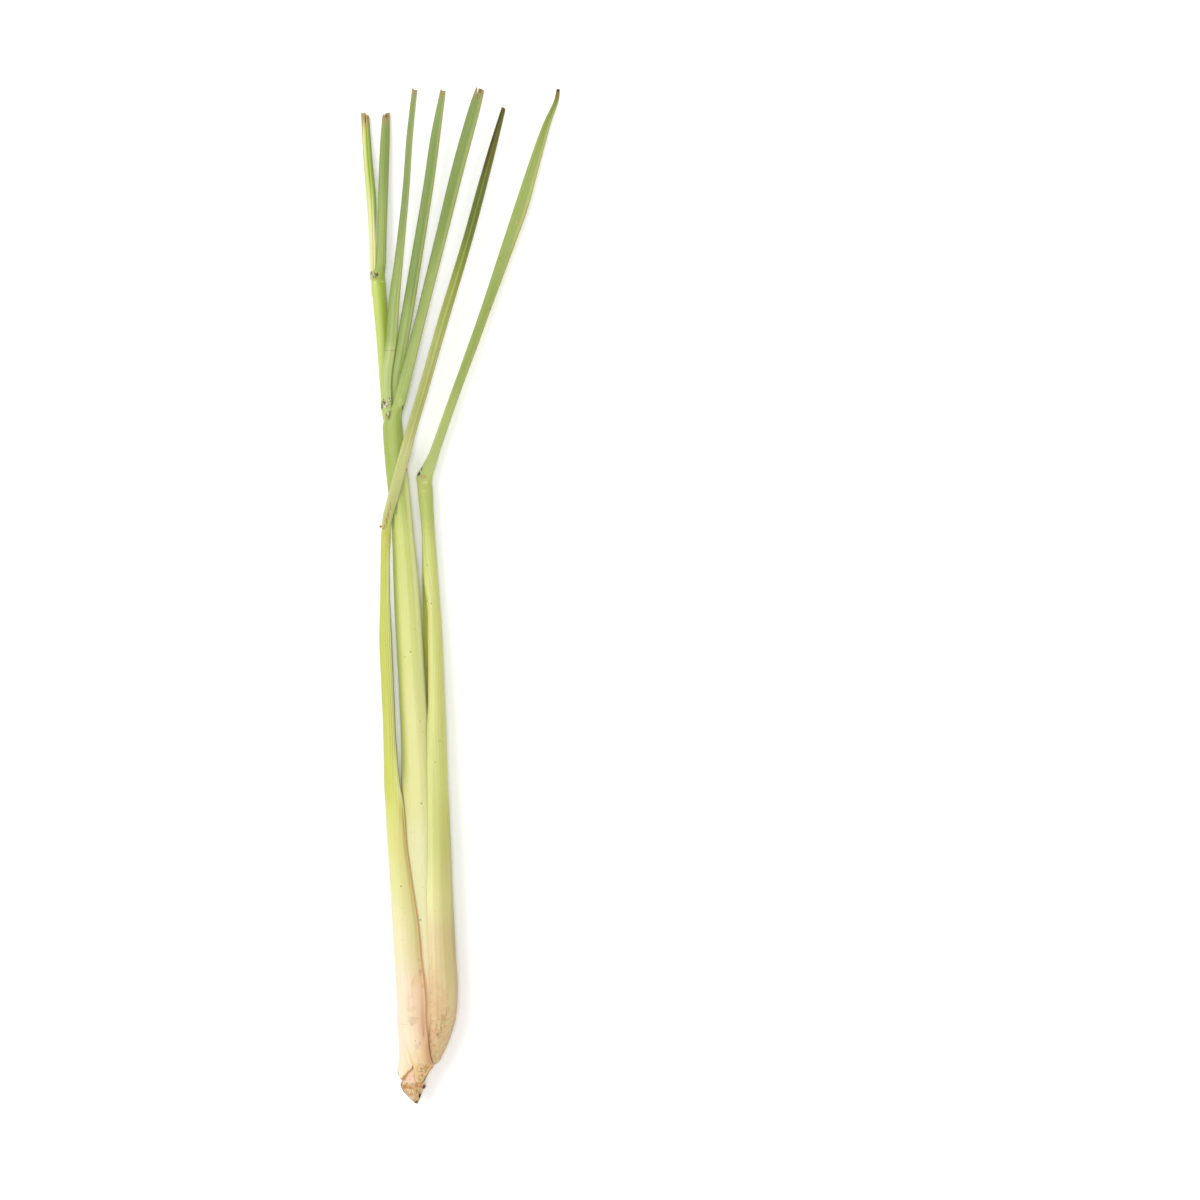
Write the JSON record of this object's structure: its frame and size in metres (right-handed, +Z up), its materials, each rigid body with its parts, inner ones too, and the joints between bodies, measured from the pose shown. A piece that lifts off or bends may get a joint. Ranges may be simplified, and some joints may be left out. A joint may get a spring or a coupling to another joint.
{
  "type": "lemongrass stalk",
  "caption": "Fresh lemongrass stalk lying down: woody cut root, swollen pale base of rolled leaf sheaths, slender green stem and a fan of trimmed leaf blades.",
  "frame": {"origin": "middle of the stalk's outline on the surface it lies on: bottom centre of its bounding box", "axes": "+Y from the cut root to the blade tips, +Z up from the surface, +X to the right seen from above with the tips away"},
  "size_m": [0.0784, 0.4, 0.0181],
  "materials": {
    "woody_root": "dry, rough, brown-rimmed woody tissue with a pale cut",
    "outer_leaf": "waxy plant skin with fine lengthwise ribs, cream at the base, yellow-green above, mid green blade",
    "second_leaf": "waxy plant skin with fine lengthwise ribs, pinkish beige at the base, pale green above, green blade",
    "stem": "smooth, slightly waxy pale green sheath with fine lengthwise veins",
    "blade": "satin mid green grass blade with parallel veins and a brown cut end",
    "heart_stem": "smooth bright yellow-green sheath, slightly glossy",
    "pale_leaf": "pale cream-green young leaf with a green stripe and a brown cut end"
  },
  "bodies": {
    "root": {"root_stub": "woody_root", "outer_leaf": "outer_leaf", "second_leaf": "second_leaf", "main_stem": "stem", "middle_leaf": "blade", "left_leaf": "blade", "heart_stem": "heart_stem", "heart_leaf": "pale_leaf"}
  },
  "joints": []
}
